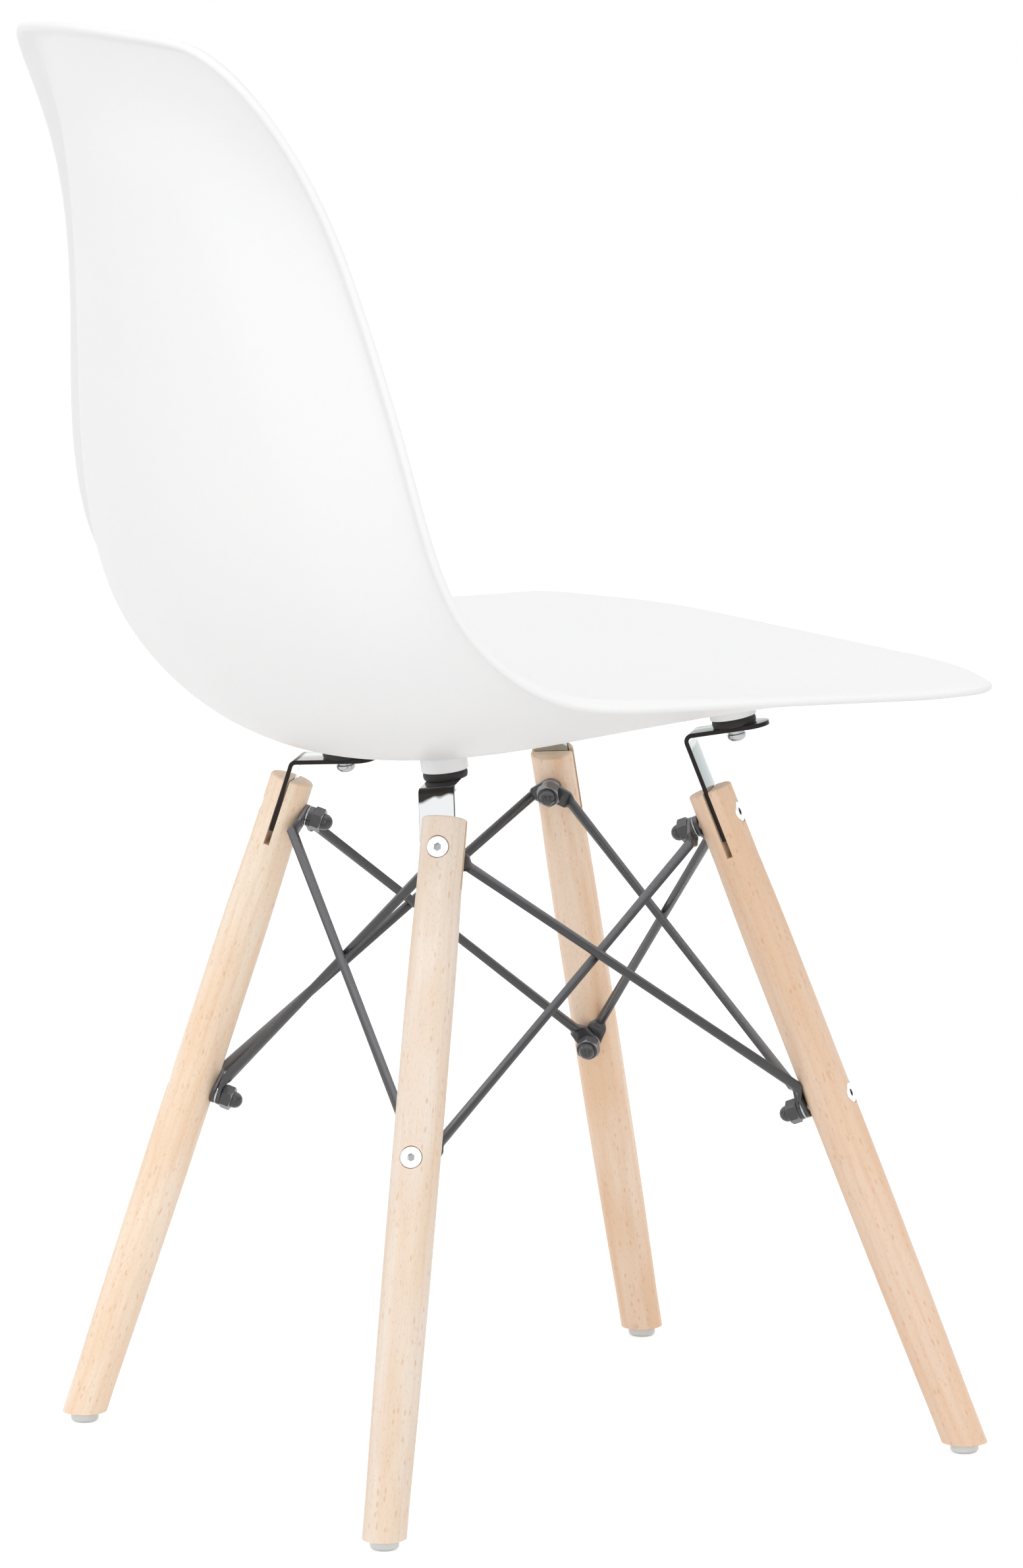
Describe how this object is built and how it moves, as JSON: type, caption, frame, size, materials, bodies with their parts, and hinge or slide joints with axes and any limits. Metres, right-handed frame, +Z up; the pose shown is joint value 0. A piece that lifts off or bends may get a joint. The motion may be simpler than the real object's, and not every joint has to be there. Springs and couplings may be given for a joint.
{
  "type": "chair",
  "caption": "Side chair: one-piece moulded plastic bucket shell on splayed turned beech legs, held by bent steel brackets and braced by welded crossed dark steel rods.",
  "frame": {"origin": "on the floor under the middle of the chair's outline (the bottom centre of its bounding box)", "axes": "+X is the sitter's left, -Y is the way the chair faces, +Z is up"},
  "size_m": [0.4732, 0.4922, 0.8182],
  "materials": {
    "shell_plastic": "white moulded polypropylene, fine satin",
    "beech_wood": "turned beech, clear matt lacquer",
    "zinc_steel": "bright zinc plating",
    "black_steel": "dark powder coat, satin",
    "black_rubber": "moulded rubber",
    "brass_insert": "turned brass, knurled outside",
    "clear_plastic": "translucent nylon"
  },
  "bodies": {
    "root": {"seat_shell": "shell_plastic", "leg_rear_right": "beech_wood", "leg_rear_left": "beech_wood", "leg_front_right": "beech_wood", "leg_front_left": "beech_wood", "bracket_rear_right": "zinc_steel", "bracket_rear_left": "zinc_steel", "bracket_front_right": "zinc_steel", "bracket_front_left": "zinc_steel", "rubber_spacers": "black_rubber", "threaded_inserts": "brass_insert", "shell_bolts": "zinc_steel", "flat_washers": "zinc_steel", "spring_washers": "zinc_steel", "leg_bolts": "zinc_steel", "brace_washers": "zinc_steel", "floor_glides": "clear_plastic", "cap_nuts": "black_steel", "cross_brace_rear": "black_steel", "cross_brace_right": "black_steel", "cross_brace_front": "black_steel", "cross_brace_left": "black_steel"}
  },
  "joints": []
}
